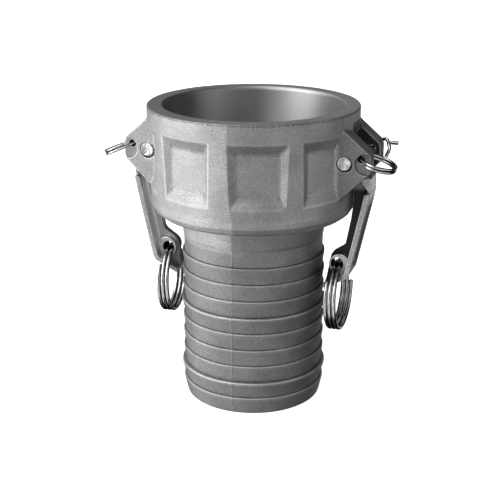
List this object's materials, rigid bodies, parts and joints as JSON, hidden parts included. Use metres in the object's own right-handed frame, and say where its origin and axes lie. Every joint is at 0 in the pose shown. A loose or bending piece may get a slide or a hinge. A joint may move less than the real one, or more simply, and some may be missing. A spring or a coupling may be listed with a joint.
{
  "type": "hose barb quick coupler",
  "caption": "Cam and groove hose coupler: cast socket head with two cam arms and pull rings over a barbed hose shank, lock rings and lock pins in its ears.",
  "frame": {"origin": "centre of the hose end face, on the pipe axis", "axes": "+Z along the pipe axis from the hose end to the socket mouth; the two cam arms lie at +X and -X; -Y is the side with the lock rings"},
  "size_m": [0.1077, 0.076, 0.11],
  "materials": {
    "cast_body": "bead blasted casting, machined mouth and bore",
    "gasket_rubber": "matte moulded nitrile",
    "arm_steel": "investment cast stainless with brushed edges",
    "pin_steel": "turned bright stainless",
    "ring_steel": "polished drawn wire"
  },
  "bodies": {
    "coupler": {"coupler_body": "cast_body", "socket_gasket": "gasket_rubber", "pivot_pin_right": "pin_steel", "pivot_pin_left": "pin_steel"},
    "arm_right": {"cam_arm_right": "arm_steel"},
    "arm_left": {"cam_arm_left": "arm_steel"},
    "pull_right": {"pull_ring_right": "ring_steel"},
    "pull_left": {"pull_ring_left": "ring_steel"},
    "lockring_right": {"lock_ring_right": "ring_steel"},
    "lockring_left": {"lock_ring_left": "ring_steel"},
    "lockpin_right": {"lock_pin_right": "ring_steel"},
    "lockpin_left": {"lock_pin_left": "ring_steel"}
  },
  "joints": [
    {"name": "arm_right_swing", "type": "hinge", "parent": "coupler", "child": "arm_right", "pos_m": [0.0362, 0, 0.0932], "axis": [0, -1, 0], "range_deg": [0, 90]},
    {"name": "arm_left_swing", "type": "hinge", "parent": "coupler", "child": "arm_left", "pos_m": [-0.0362, 0, 0.0932], "axis": [0, 1, 0], "range_deg": [0, 90]},
    {"name": "pull_ring_right_swing", "type": "hinge", "parent": "arm_right", "child": "pull_right", "pos_m": [0.03245, 0, 0.0539], "axis": [0, -1, 0], "range_deg": [-4, 110]},
    {"name": "pull_ring_left_swing", "type": "hinge", "parent": "arm_left", "child": "pull_left", "pos_m": [-0.03245, 0, 0.0539], "axis": [0, 1, 0], "range_deg": [-4, 110]},
    {"name": "lock_ring_right_swing", "type": "hinge", "parent": "coupler", "child": "lockring_right", "pos_m": [0.042, -0.00925, 0.095], "axis": [0, -1, 0], "range_deg": [0, 122]},
    {"name": "lock_ring_left_swing", "type": "hinge", "parent": "coupler", "child": "lockring_left", "pos_m": [-0.042, -0.00925, 0.095], "axis": [0, 1, 0], "range_deg": [0, 126]},
    {"name": "lock_pin_right_pull", "type": "slide", "parent": "coupler", "child": "lockpin_right", "axis": [0, 1, 0], "range_m": [0, 0.008]},
    {"name": "lock_pin_left_pull", "type": "slide", "parent": "coupler", "child": "lockpin_left", "axis": [0, 1, 0], "range_m": [0, 0.008]}
  ],
  "couplings": [
    {"joint": "lock_ring_right_swing", "follows": "arm_right_swing", "ratio": 1.35},
    {"joint": "lock_ring_left_swing", "follows": "arm_left_swing", "ratio": 1.4}
  ]
}
